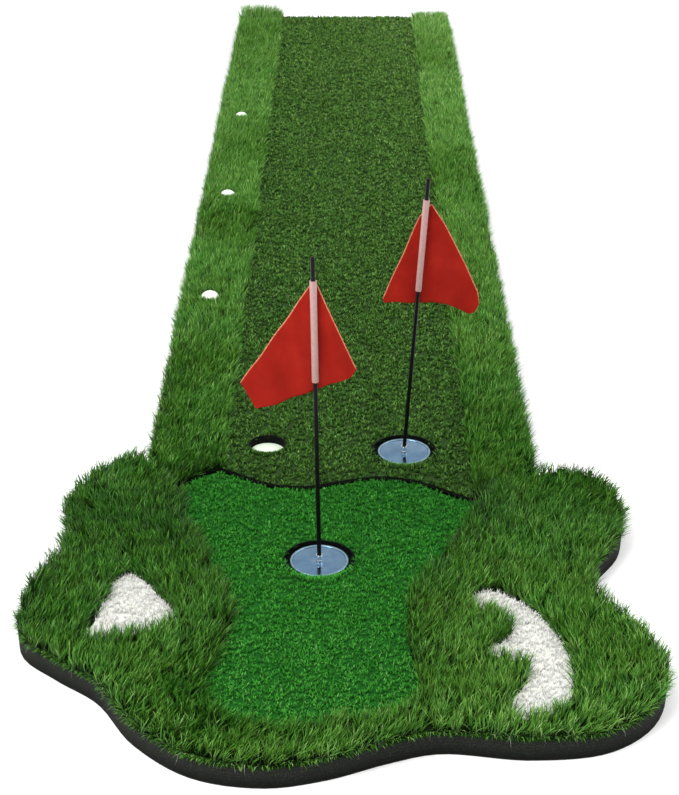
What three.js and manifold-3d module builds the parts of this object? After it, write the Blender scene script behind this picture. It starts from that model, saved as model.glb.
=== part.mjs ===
// Practice putting mat, millimetres, +Z up.
//
// A straight fairway section and a free-form head lie end to end on the floor and meet at a wavy
// seam. Each is a stack: non-slip underlay, foam base, then turf. Short pile makes the fairway and
// the green, long pile the rough round them, and white pile the two bunkers. Two cups hold loose
// flagsticks, a small practice hole is open, and three balls are parked in wells in the left rough.
//
// +Y runs along the fairway away from the head, and the origin is under the middle of the footprint.

import * as THREE from 'three';
import { mergeVertices } from 'three/addons/utils/BufferGeometryUtils.js';
import Module from 'manifold-3d';

const wasm = await Module();
wasm.setup();

// ---- driving dimensions ----

const GAP = 0.3; // clearance between pieces that touch

// the stack, from the floor up
const UNDERLAY_TOP = 2;
const FOAM_TOP = 31;
const SHORT_PILE_TOP = 43;
const BUNKER_PILE_TOP = 41;
const LONG_PILE_TOP = 61;

// straight section
const STRIP_LEFT = -335;
const STRIP_RIGHT = 325;
const STRIP_FAR_END = 1888;
const FAIRWAY_LEFT = -206;
const FAIRWAY_RIGHT = 216;

// seam between the sections, from just past the left side of the strip to just past the right
const EDGING_WIDTH = 8;
const EDGING_TOP = 41;
const SEAM_STEPS = 44;
const SEAM = [
  [-348, -1040], [-312, -1108], [-275, -1160], [-245, -1124], [-212, -1105], [-165, -1132],
  [-120, -1158], [-60, -1165], [0, -1146], [60, -1131], [125, -1147], [180, -1184],
  [212, -1204], [250, -1166], [290, -1128], [348, -1098],
];

// outer edge of the head, from the right end of the seam round the front to the left end
const HEAD_STEPS = 140;
const HEAD_EDGE = [
  [348, -1098], [412, -1112], [453, -1190], [441, -1312], [388, -1408], [384, -1472],
  [426, -1556], [460, -1648], [434, -1748], [362, -1812], [255, -1829], [130, -1816],
  [60, -1837], [-20, -1871], [-102, -1888], [-200, -1868], [-285, -1798], [-345, -1706],
  [-410, -1652], [-470, -1590], [-478, -1462], [-442, -1335], [-455, -1200], [-414, -1108],
  [-348, -1040],
];

// turf insets of the head, as closed outlines
const GREEN_STEPS = 66;
const GREEN = [
  [-275, -1090], [-270, -1180], [-258, -1262], [-228, -1332], [-198, -1420], [-166, -1505],
  [-162, -1568], [-178, -1640], [-192, -1722], [-162, -1782], [-85, -1812], [0, -1790],
  [72, -1776], [105, -1742], [98, -1640], [94, -1560], [102, -1490], [140, -1395],
  [188, -1312], [214, -1235], [226, -1120], [0, -1040],
];
const BUNKER_LEFT_STEPS = 30;
const BUNKER_LEFT = [
  [-334, -1427], [-306, -1443], [-272, -1497], [-246, -1545], [-268, -1576], [-320, -1594],
  [-372, -1596], [-364, -1550], [-354, -1480],
];
const BUNKER_RIGHT_STEPS = 48;
const BUNKER_RIGHT = [
  [190, -1503], [218, -1471], [263, -1500], [305, -1572], [325, -1655], [316, -1735],
  [287, -1776], [250, -1788], [227, -1764], [257, -1700], [260, -1656], [232, -1646],
  [205, -1628], [238, -1600], [248, -1562], [228, -1534],
];

// cups and holes
const CUP_RADIUS = 56.5;
const CUP_WALL = 2;
const CUP_FLOOR_TOP = 33;
const CUP_RIM_TOP = 42;
const CUP_RECESS_FLOOR = 30.7;
const FRONT_CUP = [-37, -1390.5];
const REAR_CUP = [105, -1036.5];
const PRACTICE_RADIUS = 33;
const PRACTICE_CENTRE = [-133, -1015];
const PRACTICE_RECESS_FLOOR = 23;
const PRACTICE_FLOOR_THICKNESS = 2;
const PRACTICE_WHITE_THICKNESS = 1.7;

// golf balls and their wells
const BALL_RADIUS = 21.35;
const WELL_RADIUS = 23;
const WELL_FLOOR = 17;
const WELL_X = -277;
const WELL_SPACING = 600;
const FIRST_WELL_Y = -388;
const WELL_COUNT = 3;

// flagsticks: heights are above the floor, and the pole leans as it stands loose in its ferrule
const BASE_RADIUS = 45.5;
const BASE_TOP = 40;
const BASE_RIM_WIDTH = 3.5;
const BASE_DISH_DEPTH = 1;
const FERRULE_RADIUS = 5;
const FERRULE_HEIGHT = 11;
const SOCKET_RADIUS = 4;
const SOCKET_FLOOR = 1.5;
const POLE_RADIUS = 3.3;
const POLE_TOP = 548;
const SLEEVE_BOTTOM = 349;
const SLEEVE_TOP = 511;
const SLEEVE_RADIUS = 5.2;
const SLEEVE_BORE_RADIUS = 3.7;
const CLOTH_THICKNESS = 1.2;
const CLOTH_BEND = 14;
const CLOTH_COLUMNS = 12;
const CLOTH_ROWS = 7;

// a flag: its cup, its lean towards +X, its tilt towards -Y, and its cloth's corners as
// [across, above sleeve bottom]
const FLAGS = {
  front: {
    cup: FRONT_CUP,
    lean: THREE.MathUtils.degToRad(-0.8),
    tilt: 0,
    top: [[-6, 151], [6, 153]],
    bottom: [[-112, -9], [-90, -53], [0, -16], [22, -8], [53, 3], [61, 14]],
  },
  rear: {
    cup: REAR_CUP,
    lean: THREE.MathUtils.degToRad(3.4),
    tilt: THREE.MathUtils.degToRad(2.5),
    top: [[-9, 129], [9, 154], [34, 118], [78, 40], [101, -6]],
    bottom: [
      [-57, -22], [-54, -30], [0, -25], [46, -24], [62, -31], [88, -47], [98, -43], [104, -27],
    ],
  },
};

// ---- materials ----

function material(color, roughness, metalness = 0) {
  return new THREE.MeshStandardMaterial({ color, roughness, metalness });
}

const blackRubber = material(0x1b1c1b, 0.9);
const blackFoam = material(0x222322, 0.95);
const blackPlastic = material(0x111312, 0.5);
const fairwayPile = material(0x436b2c, 0.95);
const greenPile = material(0x2a7328, 0.95);
const roughPile = material(0x3c6c28, 0.9);
const whitePile = material(0xdfe0da, 0.95);
const whitePlastic = material(0xe8ece2, 0.5);
const whiteGloss = material(0xf2f2ee, 0.25);
const polishedSteel = material(0x7f9cac, 0.15, 1);
const chrome = material(0xd8dcde, 0.1, 1);
const blackPole = material(0x0d0e0d, 0.35);
const sleevePlastic = material(0xdcb6b0, 0.35);
const redCloth = material(0xaa2a1e, 0.85);

// ---- flat outlines: lists of [x, y] ----

function sampled(points, steps, closed) {
  const knots = points.map(([x, y]) => new THREE.Vector3(x, y, 0));
  const curve = new THREE.CatmullRomCurve3(knots, closed, 'centripetal');
  const samples = curve.getSpacedPoints(steps).map((p) => [p.x, p.y]);
  return closed ? samples.slice(0, -1) : samples;
}

// moves every point sideways, to the left of the direction of travel
function shifted(points, distance, closed) {
  const last = points.length - 1;
  return points.map(([x, y], i) => {
    const before = points[closed ? (i + last) % (last + 1) : Math.max(i - 1, 0)];
    const after = points[closed ? (i + 1) % (last + 1) : Math.min(i + 1, last)];
    const along = new THREE.Vector2(after[0] - before[0], after[1] - before[1]).normalize();
    return [x - along.y * distance, y + along.x * distance];
  });
}

const seamLine = sampled(SEAM, SEAM_STEPS, false);
const headEdge = sampled(HEAD_EDGE, HEAD_STEPS, false).slice(1, -1);

// the strip lies to the left of the seam line and the head to its right
function stripOutline(clearance) {
  const seam = shifted(seamLine, clearance, false);
  const left = seam[0][0];
  const right = seam[seam.length - 1][0];
  return [...seam, [right, STRIP_FAR_END], [left, STRIP_FAR_END]];
}

function headOutline(clearance) {
  return [...shifted(seamLine, -clearance, false), ...headEdge];
}

function edgingOutline() {
  const near = shifted(seamLine, -EDGING_WIDTH / 2, false);
  const far = shifted(seamLine, EDGING_WIDTH / 2, false);
  return [...near, ...far.reverse()];
}

// ---- solids ----

function prism(outline, bottom, top) {
  const shape = new THREE.Shape(outline.map(([x, y]) => new THREE.Vector2(x, y)));
  const geometry = new THREE.ExtrudeGeometry(shape, { depth: top - bottom, bevelEnabled: false });
  return geometry.translate(0, 0, bottom);
}

function block(left, right, near, far, bottom, top) {
  return new THREE.BoxGeometry(right - left, far - near, top - bottom)
    .translate((left + right) / 2, (near + far) / 2, (bottom + top) / 2);
}

function post([x, y], radius, bottom, top, sides) {
  return new THREE.CylinderGeometry(radius, radius, top - bottom, sides)
    .rotateX(Math.PI / 2)
    .translate(x, y, (bottom + top) / 2);
}

// turns a closed [radius, height] profile about +Z
function turned(profile, sides) {
  const points = [...profile, profile[0]].map(([r, z]) => new THREE.Vector2(r, z));
  return new THREE.LatheGeometry(points, sides).rotateX(Math.PI / 2);
}

function toSolid(geometry) {
  const bare = geometry.clone();
  bare.deleteAttribute('normal');
  bare.deleteAttribute('uv');
  const merged = mergeVertices(bare, 1e-3);
  return new wasm.Manifold(new wasm.Mesh({
    numProp: 3,
    vertProperties: new Float32Array(merged.attributes.position.array),
    triVerts: new Uint32Array(merged.index.array),
  }));
}

function toGeometry(solid) {
  const mesh = solid.getMesh();
  const geometry = new THREE.BufferGeometry();
  geometry.setAttribute('position', new THREE.BufferAttribute(mesh.vertProperties, 3));
  geometry.setIndex(new THREE.BufferAttribute(mesh.triVerts, 1));
  geometry.computeVertexNormals();
  return geometry;
}

function cut(geometry, ...tools) {
  return toGeometry(tools.reduce((solid, tool) => solid.subtract(toSolid(tool)), toSolid(geometry)));
}

function common(geometry, tool) {
  return toGeometry(toSolid(geometry).intersect(toSolid(tool)));
}

// ---- the object ----

const group = new THREE.Group();

function add(name, geometry, look, parent = group) {
  const mesh = new THREE.Mesh(geometry, look);
  mesh.name = name;
  parent.add(mesh);
  return mesh;
}

const CUP_SIDES = 40;
const WELL_SIDES = 24;
const HOLE_REACH = 5; // how far a cutter passes the faces that it cuts
const STRIP_NEAR_END = -1300; // short of every point of the seam
const wellCentres = Array.from({ length: WELL_COUNT }, (_, i) => [WELL_X, FIRST_WELL_Y + i * WELL_SPACING]);

// a layer of the strip between two lengthwise lines, down to the seam
function stripLayer(clearance, bottom, top, left = STRIP_LEFT, right = STRIP_RIGHT) {
  const between = block(
    left, right, STRIP_NEAR_END, STRIP_FAR_END + HOLE_REACH, bottom - HOLE_REACH, top + HOLE_REACH,
  );
  return common(prism(stripOutline(clearance), bottom, top), between);
}

function addStripSection() {
  const turfClearance = EDGING_WIDTH / 2 + GAP;
  const turfBottom = FOAM_TOP + GAP;
  const through = (centre, radius, sides) => (
    post(centre, radius, turfBottom - HOLE_REACH, LONG_PILE_TOP + HOLE_REACH, sides)
  );

  add('strip_underlay', stripLayer(GAP / 2, 0, UNDERLAY_TOP), blackRubber);
  add('strip_foam_base', cut(
    stripLayer(GAP / 2, UNDERLAY_TOP + GAP, FOAM_TOP),
    post(REAR_CUP, CUP_RADIUS, CUP_RECESS_FLOOR, FOAM_TOP + HOLE_REACH, CUP_SIDES),
    post(PRACTICE_CENTRE, PRACTICE_RADIUS, PRACTICE_RECESS_FLOOR, FOAM_TOP + HOLE_REACH, CUP_SIDES),
    ...wellCentres.map((c) => post(c, WELL_RADIUS, WELL_FLOOR, FOAM_TOP + HOLE_REACH, WELL_SIDES)),
  ), blackFoam);
  add('fairway_turf', cut(
    stripLayer(turfClearance, turfBottom, SHORT_PILE_TOP, FAIRWAY_LEFT, FAIRWAY_RIGHT),
    through(REAR_CUP, CUP_RADIUS, CUP_SIDES),
    through(PRACTICE_CENTRE, PRACTICE_RADIUS, CUP_SIDES),
  ), fairwayPile);
  add('rough_turf_left', cut(
    stripLayer(turfClearance, turfBottom, LONG_PILE_TOP, STRIP_LEFT, FAIRWAY_LEFT - GAP),
    ...wellCentres.map((c) => through(c, WELL_RADIUS, WELL_SIDES)),
  ), roughPile);
  add(
    'rough_turf_right',
    stripLayer(turfClearance, turfBottom, LONG_PILE_TOP, FAIRWAY_RIGHT + GAP, STRIP_RIGHT),
    roughPile,
  );
}

function addHeadSection() {
  const whole = headOutline(GAP / 2);
  const turf = headOutline(EDGING_WIDTH / 2 + GAP);
  const turfBottom = FOAM_TOP + GAP;
  const inset = (outline, steps, clearance, top) => (
    prism(shifted(sampled(outline, steps, true), clearance, true), turfBottom, top)
  );
  const cutter = (outline, steps) => (
    prism(sampled(outline, steps, true), turfBottom - HOLE_REACH, LONG_PILE_TOP + HOLE_REACH)
  );

  add('head_underlay', prism(whole, 0, UNDERLAY_TOP), blackRubber);
  add('head_foam_base', cut(
    prism(whole, UNDERLAY_TOP + GAP, FOAM_TOP),
    post(FRONT_CUP, CUP_RADIUS, CUP_RECESS_FLOOR, FOAM_TOP + HOLE_REACH, CUP_SIDES),
  ), blackFoam);
  add('head_rough_turf', cut(
    prism(turf, turfBottom, LONG_PILE_TOP),
    cutter(GREEN, GREEN_STEPS),
    cutter(BUNKER_LEFT, BUNKER_LEFT_STEPS),
    cutter(BUNKER_RIGHT, BUNKER_RIGHT_STEPS),
  ), roughPile);
  add('green_turf', cut(
    common(prism(turf, turfBottom, SHORT_PILE_TOP), inset(GREEN, GREEN_STEPS, GAP, LONG_PILE_TOP)),
    post(FRONT_CUP, CUP_RADIUS, turfBottom - HOLE_REACH, LONG_PILE_TOP, CUP_SIDES),
  ), greenPile);
  add('bunker_left', inset(BUNKER_LEFT, BUNKER_LEFT_STEPS, -GAP, BUNKER_PILE_TOP), whitePile);
  add('bunker_right', inset(BUNKER_RIGHT, BUNKER_RIGHT_STEPS, -GAP, BUNKER_PILE_TOP), whitePile);
}

function addSeamEdging() {
  const bottom = FOAM_TOP + GAP;
  const width = block(
    STRIP_LEFT, STRIP_RIGHT, STRIP_NEAR_END, 0, bottom - HOLE_REACH, EDGING_TOP + HOLE_REACH,
  );
  add('seam_edging', common(prism(edgingOutline(), bottom, EDGING_TOP), width), blackRubber);
}

function addCup(name, [x, y]) {
  const outer = CUP_RADIUS - GAP;
  const inner = outer - CUP_WALL;
  const bottom = CUP_RECESS_FLOOR + GAP;
  const profile = [
    [0, bottom], [outer, bottom], [outer, CUP_RIM_TOP], [inner, CUP_RIM_TOP],
    [inner, CUP_FLOOR_TOP], [0, CUP_FLOOR_TOP],
  ];
  add(name, turned(profile, CUP_SIDES), blackPlastic).position.set(x, y, 0);
}

function addPracticeHole() {
  const outer = PRACTICE_RADIUS - GAP;
  const inner = outer - CUP_WALL;
  const bottom = PRACTICE_RECESS_FLOOR + GAP;
  const floorTop = bottom + PRACTICE_FLOOR_THICKNESS;
  const profile = [
    [0, bottom], [outer, bottom], [outer, CUP_RIM_TOP], [inner, CUP_RIM_TOP],
    [inner, floorTop], [0, floorTop],
  ];
  add('practice_hole_liner', turned(profile, CUP_SIDES), blackPlastic)
    .position.set(...PRACTICE_CENTRE, 0);
  const whiteBottom = floorTop + GAP;
  const disc = post([0, 0], inner - GAP, whiteBottom, whiteBottom + PRACTICE_WHITE_THICKNESS, CUP_SIDES);
  add('practice_hole_floor', disc, whitePlastic).position.set(...PRACTICE_CENTRE, 0);
}

function addBalls() {
  wellCentres.forEach(([x, y], i) => {
    const ball = new THREE.SphereGeometry(BALL_RADIUS, 20, 14).rotateX(Math.PI / 2);
    add(`golf_ball_${i + 1}`, ball, whiteGloss).position.set(x, y, WELL_FLOOR + GAP + BALL_RADIUS);
  });
}

// ---- flagsticks ----

// height of a polyline of [across, height] points at a place across it
function heightAt(line, across) {
  const i = Math.max(1, line.findIndex(([a]) => a >= across));
  const [a0, h0] = line[i - 1];
  const [a1, h1] = line[i];
  return h0 + (h1 - h0) * (across - a0) / (a1 - a0);
}

// A thin closed sheet behind the sleeve. Its upper edge runs from the outer corners to the top of
// the sleeve, its lower edge through the bottom corners, and both wings sweep back from the pole.
function clothGeometry({ top, bottom }) {
  const leftCorner = bottom[0];
  const rightCorner = bottom[bottom.length - 1];
  const upper = [leftCorner, ...top, rightCorner];
  const front = SLEEVE_RADIUS + GAP;
  const reach = Math.max(-leftCorner[0], rightCorner[0]);
  const positions = [];
  for (const depth of [0, CLOTH_THICKNESS]) {
    for (let row = 0; row <= CLOTH_ROWS; row += 1) {
      for (let column = 0; column <= CLOTH_COLUMNS; column += 1) {
        const across = THREE.MathUtils.lerp(leftCorner[0], rightCorner[0], column / CLOTH_COLUMNS);
        const low = heightAt(bottom, across) - CLOTH_THICKNESS;
        const height = THREE.MathUtils.lerp(low, heightAt(upper, across), row / CLOTH_ROWS);
        positions.push(across, front + depth + CLOTH_BEND * (across / reach) ** 2, height);
      }
    }
  }
  const width = CLOTH_COLUMNS + 1;
  const sheet = width * (CLOTH_ROWS + 1);
  const faces = [];
  const quad = (a, b, c, d) => faces.push(a, b, c, a, c, d);
  for (let row = 0; row < CLOTH_ROWS; row += 1) {
    for (let column = 0; column < CLOTH_COLUMNS; column += 1) {
      const i = row * width + column;
      quad(i, i + 1, i + width + 1, i + width);
      quad(sheet + i, sheet + i + width, sheet + i + width + 1, sheet + i + 1);
    }
  }
  for (let column = 0; column < CLOTH_COLUMNS; column += 1) {
    const highest = CLOTH_ROWS * width + column;
    quad(column, sheet + column, sheet + column + 1, column + 1);
    quad(highest, highest + 1, sheet + highest + 1, sheet + highest);
  }
  for (let row = 0; row < CLOTH_ROWS; row += 1) {
    const left = row * width;
    const right = left + CLOTH_COLUMNS;
    quad(left, left + width, sheet + left + width, sheet + left);
    quad(right, sheet + right, sheet + right + width, right + width);
  }
  const geometry = new THREE.BufferGeometry();
  geometry.setAttribute('position', new THREE.Float32BufferAttribute(positions, 3));
  geometry.setIndex(faces);
  geometry.computeVertexNormals();
  return geometry;
}

function addFlag(name, flag) {
  const stand = new THREE.Group();
  stand.position.set(...flag.cup, 0);
  group.add(stand);

  const baseBottom = CUP_FLOOR_TOP + GAP;
  const dishTop = BASE_TOP - BASE_DISH_DEPTH;
  const rimInner = BASE_RADIUS - BASE_RIM_WIDTH;
  add(`${name}_flag_base`, turned([
    [0, baseBottom], [BASE_RADIUS, baseBottom], [BASE_RADIUS, BASE_TOP - 1],
    [BASE_RADIUS - 1, BASE_TOP], [rimInner, BASE_TOP], [rimInner - 1, dishTop], [0, dishTop],
  ], CUP_SIDES), polishedSteel, stand);

  const ferruleBottom = dishTop + GAP;
  const ferruleTop = ferruleBottom + FERRULE_HEIGHT;
  const socketFloor = ferruleBottom + SOCKET_FLOOR;
  add(`${name}_flag_ferrule`, turned([
    [0, ferruleBottom], [FERRULE_RADIUS, ferruleBottom], [FERRULE_RADIUS, ferruleTop - 1],
    [FERRULE_RADIUS - 0.5, ferruleTop], [SOCKET_RADIUS, ferruleTop], [SOCKET_RADIUS, socketFloor],
    [0, socketFloor],
  ], 20), chrome, stand);

  // everything from here up leans about the middle of the socket
  const pivot = (socketFloor + ferruleTop) / 2;
  const leaning = new THREE.Group();
  leaning.position.z = pivot;
  leaning.rotation.set(flag.tilt, flag.lean, 0);
  stand.add(leaning);

  const poleBottom = socketFloor + 2 * GAP - pivot;
  const poleTop = POLE_TOP - pivot;
  add(`${name}_flag_pole`, turned([
    [0, poleBottom], [POLE_RADIUS, poleBottom], [POLE_RADIUS, poleTop - POLE_RADIUS],
    [POLE_RADIUS * 0.7, poleTop - POLE_RADIUS * 0.3], [0, poleTop],
  ], 16), blackPole, leaning);
  add(`${name}_flag_sleeve`, turned([
    [SLEEVE_BORE_RADIUS, SLEEVE_BOTTOM - pivot], [SLEEVE_RADIUS, SLEEVE_BOTTOM - pivot],
    [SLEEVE_RADIUS, SLEEVE_TOP - pivot], [SLEEVE_BORE_RADIUS, SLEEVE_TOP - pivot],
  ], 20), sleevePlastic, leaning);
  add(`${name}_flag_cloth`, clothGeometry(flag), redCloth, leaning)
    .position.z = SLEEVE_BOTTOM - pivot;
}

// puts the origin under the middle of the footprint
function centre() {
  const box = new THREE.Box3().setFromObject(group);
  const middle = box.getCenter(new THREE.Vector3());
  group.position.set(-middle.x, -middle.y, -box.min.z);
  group.updateMatrixWorld(true);
}

addStripSection();
addHeadSection();
addSeamEdging();
addCup('front_cup_liner', FRONT_CUP);
addCup('rear_cup_liner', REAR_CUP);
addPracticeHole();
addBalls();
Object.entries(FLAGS).forEach(([name, flag]) => addFlag(name, flag));
centre();

export default group;
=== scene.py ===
"""Practice putting mat: the looks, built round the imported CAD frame.

Every pile is real geometry. Long blades, short curled tufts and white fibres are grown from the top
faces of the CAD turf solids, which they replace. Metres, +Z up, +Y along the fairway.
"""

import math

import bmesh
import bpy
import numpy as np
from mathutils import Matrix, Vector


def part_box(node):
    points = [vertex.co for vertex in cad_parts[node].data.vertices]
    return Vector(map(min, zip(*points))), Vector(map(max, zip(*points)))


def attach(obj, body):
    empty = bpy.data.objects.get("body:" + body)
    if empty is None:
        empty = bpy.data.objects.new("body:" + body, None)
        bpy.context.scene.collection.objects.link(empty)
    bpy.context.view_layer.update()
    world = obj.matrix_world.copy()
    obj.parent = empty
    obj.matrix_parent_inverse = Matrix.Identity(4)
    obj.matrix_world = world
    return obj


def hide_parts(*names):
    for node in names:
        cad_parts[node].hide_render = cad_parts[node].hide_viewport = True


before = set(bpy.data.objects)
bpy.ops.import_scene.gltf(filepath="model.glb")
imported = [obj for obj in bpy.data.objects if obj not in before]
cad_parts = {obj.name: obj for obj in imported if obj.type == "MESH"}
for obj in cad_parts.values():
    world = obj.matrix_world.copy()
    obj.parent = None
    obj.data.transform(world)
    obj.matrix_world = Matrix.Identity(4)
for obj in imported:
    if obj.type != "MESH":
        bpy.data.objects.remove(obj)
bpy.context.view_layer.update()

MM = 0.001
MAT = "mat"
FLAG_NAMES = ("front", "rear")
BALLS = ("golf_ball_1", "golf_ball_2", "golf_ball_3")

# ---- camera, floor and light ----

CAMERA_SPOT = (0.0143, -3.702, 1.496)
CAMERA_PITCH = math.radians(26.9)  # below the horizon
CAMERA_YAW = math.radians(0.23)
SENSOR = 36.0
FOCAL_LENGTH = 79.25
FLOOR_SIZE = 60.0


def add_camera():
    data = bpy.data.cameras.new("camera")
    data.sensor_width = SENSOR
    data.lens = FOCAL_LENGTH
    data.clip_end = 200
    camera = bpy.data.objects.new("camera", data)
    camera.location = CAMERA_SPOT
    camera.rotation_euler = (math.pi / 2 - CAMERA_PITCH, 0, CAMERA_YAW)
    bpy.context.scene.collection.objects.link(camera)
    bpy.context.scene.camera = camera


def add_area_light(name, spot, aim, size, power):
    data = bpy.data.lights.new(name, "AREA")
    data.shape = "SQUARE"
    data.size = size
    data.energy = power
    light = bpy.data.objects.new(name, data)
    light.location = spot
    light.rotation_euler = (Vector(aim) - Vector(spot)).to_track_quat("-Z", "Y").to_euler()
    bpy.context.scene.collection.objects.link(light)


def add_studio():
    bpy.context.scene.view_settings.view_transform = "Standard"
    world = bpy.data.worlds.new("studio")
    bpy.context.scene.world = world
    world.use_nodes = True
    background = world.node_tree.nodes["Background"]
    background.inputs["Color"].default_value = (1.0, 1.0, 1.0, 1.0)
    background.inputs["Strength"].default_value = 1.0
    add_area_light("key", (-2.5, -3.5, 4.5), (0, -0.6, 0), 2.5, 260)
    add_area_light("fill", (3.5, 0.5, 4.0), (0, 0.4, 0), 3.0, 110)
    mesh = bpy.data.meshes.new("floor")
    half = FLOOR_SIZE / 2
    corners = [(-half, -half, 0), (half, -half, 0), (half, half, 0), (-half, half, 0)]
    mesh.from_pydata(corners, [], [(0, 1, 2, 3)])
    floor = bpy.data.objects.new("floor", mesh)
    bpy.context.scene.collection.objects.link(floor)
    mesh.materials.append(floor_material())


# ---- material nodes ----


def new_material(name, roughness, metallic=0.0, specular=0.5):
    material = bpy.data.materials.new(name)
    material.use_nodes = True
    shader = material.node_tree.nodes["Principled BSDF"]
    shader.inputs["Roughness"].default_value = roughness
    shader.inputs["Metallic"].default_value = metallic
    shader.inputs["Specular IOR Level"].default_value = specular
    return material, shader


def add_node(material, kind, **values):
    node = material.node_tree.nodes.new(kind)
    for key, value in values.items():
        if hasattr(node, key):
            setattr(node, key, value)
        else:
            node.inputs[key.replace("_", " ")].default_value = value
    return node


def link(material, source, target):
    material.node_tree.links.new(source, target)


def object_coords(material):
    return add_node(material, "ShaderNodeTexCoord").outputs["Object"]


def add_noise(material, scale, detail=4.0, roughness=0.55):
    texture = add_node(material, "ShaderNodeTexNoise", Scale=scale, Detail=detail, Roughness=roughness)
    link(material, object_coords(material), texture.inputs["Vector"])
    return texture.outputs["Fac"]


def add_ramp(material, factor, stops):
    ramp = add_node(material, "ShaderNodeValToRGB").color_ramp
    node = material.node_tree.nodes[-1]
    while len(ramp.elements) < len(stops):
        ramp.elements.new(1.0)
    for element, (place, colour) in zip(ramp.elements, stops, strict=True):
        element.position = place
        element.color = (*colour, 1.0)
    link(material, factor, node.inputs["Fac"])
    return node.outputs["Color"]


def add_mix(material, factor, first, second, blend="MIX"):
    node = add_node(material, "ShaderNodeMix", data_type="RGBA", blend_type=blend)
    sockets = {s.identifier: s for s in node.inputs}
    for socket, value in (("Factor_Float", factor), ("A_Color", first), ("B_Color", second)):
        if isinstance(value, (int, float)):
            sockets[socket].default_value = value
        elif isinstance(value, tuple):
            sockets[socket].default_value = (*value, 1.0)
        else:
            link(material, value, sockets[socket])
    return {s.identifier: s for s in node.outputs}["Result_Color"]


def add_bump(material, shader, height, strength, distance):
    bump = add_node(material, "ShaderNodeBump", Strength=strength, Distance=distance)
    link(material, height, bump.inputs["Height"])
    link(material, bump.outputs["Normal"], shader.inputs["Normal"])


def attribute(material, name):
    return add_node(material, "ShaderNodeAttribute", attribute_name=name).outputs["Fac"]


def srgb(red, green, blue):
    """A colour given as 0 to 255 display values, as linear light."""
    return tuple(
        (v / 255 / 12.92) if v <= 10 else ((v / 255 + 0.055) / 1.055) ** 2.4 for v in (red, green, blue)
    )


# ---- materials ----


def floor_material():
    material, shader = new_material("floor_white", 0.9, specular=0.1)
    shader.inputs["Base Color"].default_value = (0.93, 0.93, 0.93, 1)
    return material


def pile_material(name, shades, root_shade, patch_shade, patch_scale, roughness, specular, reveal=0.75):
    """Synthetic pile. Attribute "tint" picks a strand's own shade and "along" runs from its root, which
    sits in the dark, to its tip. Slow noise adds the patchy wear of trodden pile."""
    material, shader = new_material(name, roughness, specular=specular)
    steps = [(i / (len(shades) - 1), shade) for i, shade in enumerate(shades)]
    own = add_ramp(material, attribute(material, "tint"), steps)
    wear = add_noise(material, patch_scale, 3.0)
    patch = add_ramp(material, wear, [(0.35, (0, 0, 0)), (0.7, (1, 1, 1))])
    patched = add_mix(material, patch, own, patch_shade)
    blended = add_mix(material, 0.3, own, patched)
    depth = add_ramp(material, attribute(material, "along"), [(0.1, (0, 0, 0)), (reveal, (1, 1, 1))])
    colour = add_mix(material, depth, root_shade, blended)
    link(material, colour, shader.inputs["Base Color"])
    return material


def rough_pile():
    dark = [srgb(18, 58, 6), srgb(44, 104, 21), srgb(80, 150, 42)]
    light = [srgb(134, 190, 84), srgb(192, 224, 148)]
    return pile_material("rough_blades", dark + light, srgb(5, 18, 2), srgb(96, 128, 22), 9.0, 0.5, 0.3,
                         reveal=0.9)


def fairway_pile():
    dark = [srgb(20, 52, 8), srgb(50, 96, 24), srgb(78, 132, 42)]
    light = [srgb(124, 172, 80), srgb(172, 204, 124)]
    return pile_material("fairway_tufts", dark + light, srgb(14, 34, 6), srgb(80, 118, 36), 6.0, 0.6, 0.2,
                         reveal=0.8)


def green_pile():
    shades = [srgb(20, 92, 12), srgb(50, 146, 38), srgb(84, 178, 62), srgb(150, 218, 118)]
    return pile_material("green_tufts", shades, srgb(12, 60, 10), srgb(50, 136, 28), 7.0, 0.6, 0.2)


def white_pile():
    shades = [srgb(222, 217, 209), srgb(241, 240, 236), srgb(248, 249, 247), srgb(253, 254, 253)]
    return pile_material("bunker_fibres", shades, srgb(178, 180, 180), srgb(236, 232, 228), 20.0, 0.6, 0.3)


def backing_material(name, dark, light):
    """The woven backing and thatch that the strands stand in."""
    material, shader = new_material(name, 0.95, specular=0.1)
    grain = add_noise(material, 420.0, 5.0, 0.7)
    link(material, add_ramp(material, grain, [(0.35, dark), (0.7, light)]), shader.inputs["Base Color"])
    add_bump(material, shader, grain, 0.8, 0.002)
    return material


def foam_material():
    """Black closed-cell foam: fine cells, faint laminations along its cut edge, and painted shade that
    darkens it towards the bottom.
    """
    material, shader = new_material("black_foam", 0.85, specular=0.12)
    cells = add_node(material, "ShaderNodeTexVoronoi", Scale=620.0)
    link(material, object_coords(material), cells.inputs["Vector"])
    layers = add_node(material, "ShaderNodeTexWave", Scale=60.0, Distortion=2.5, bands_direction="Z")
    link(material, object_coords(material), layers.inputs["Vector"])
    mixed = add_mix(material, 0.12, cells.outputs["Distance"], layers.outputs["Fac"])
    greys = [(0.15, srgb(12, 14, 11)), (0.6, srgb(30, 33, 28)), (0.95, srgb(46, 49, 43))]
    shade = add_ramp(material, mixed, greys)
    # painted shade: the foam's colour is darkened towards the bottom of its edge
    split = add_node(material, "ShaderNodeSeparateXYZ")
    link(material, object_coords(material), split.inputs["Vector"])
    rise = add_node(material, "ShaderNodeMapRange", From_Min=0.002, From_Max=0.024)
    link(material, split.outputs["Z"], rise.inputs["Value"])
    painted_low_shade = add_ramp(material, rise.outputs["Result"], [(0.0, (0.2, 0.2, 0.2)), (0.9, (1, 1, 1))])
    low_shaded = add_mix(material, 1.0, shade, painted_low_shade, "MULTIPLY")
    link(material, low_shaded, shader.inputs["Base Color"])
    add_bump(material, shader, mixed, 0.5, 0.0008)
    return material


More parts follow.
